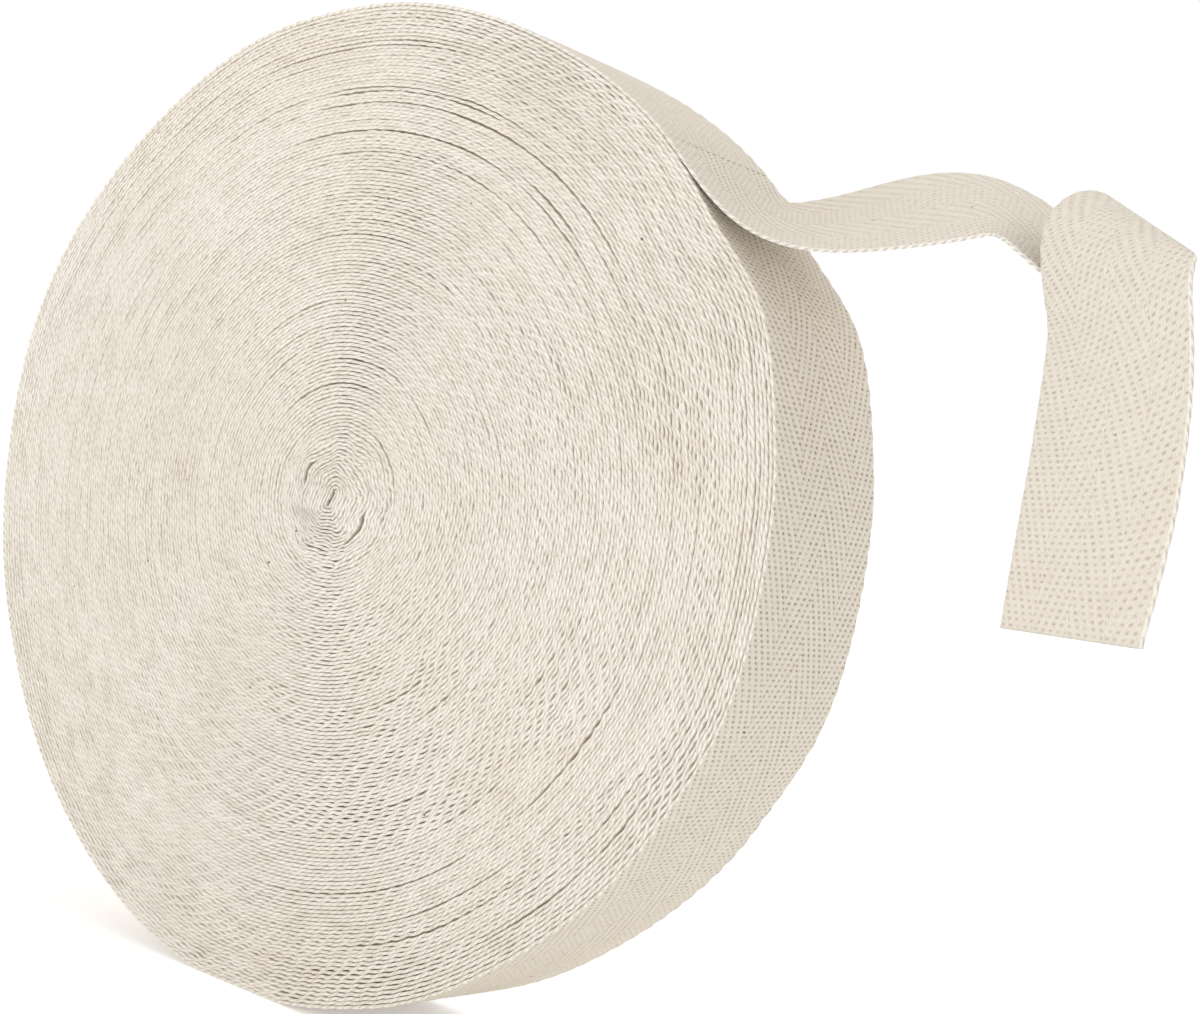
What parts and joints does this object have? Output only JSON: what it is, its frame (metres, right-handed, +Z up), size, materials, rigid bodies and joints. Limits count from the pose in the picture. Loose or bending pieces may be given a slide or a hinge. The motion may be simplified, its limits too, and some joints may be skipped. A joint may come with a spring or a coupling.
{
  "type": "roll of twill tape",
  "caption": "Disc-shaped roll of cotton herringbone twill tape, wound without a core and standing on its rim, with its loose end turned over and hanging beside it.",
  "frame": {"origin": "on the flat spot that the roll stands on, straight under the axis and midway across the tape's width", "axes": "+Z up; the roll's axis runs along Y with the front face towards -Y; the loose end leaves towards +X"},
  "size_m": [0.198, 0.0545, 0.1387],
  "materials": {
    "cotton_tape": "unbleached cotton, matt"
  },
  "bodies": {
    "root": {"wound_roll": "cotton_tape", "loose_end": "cotton_tape"}
  },
  "joints": []
}
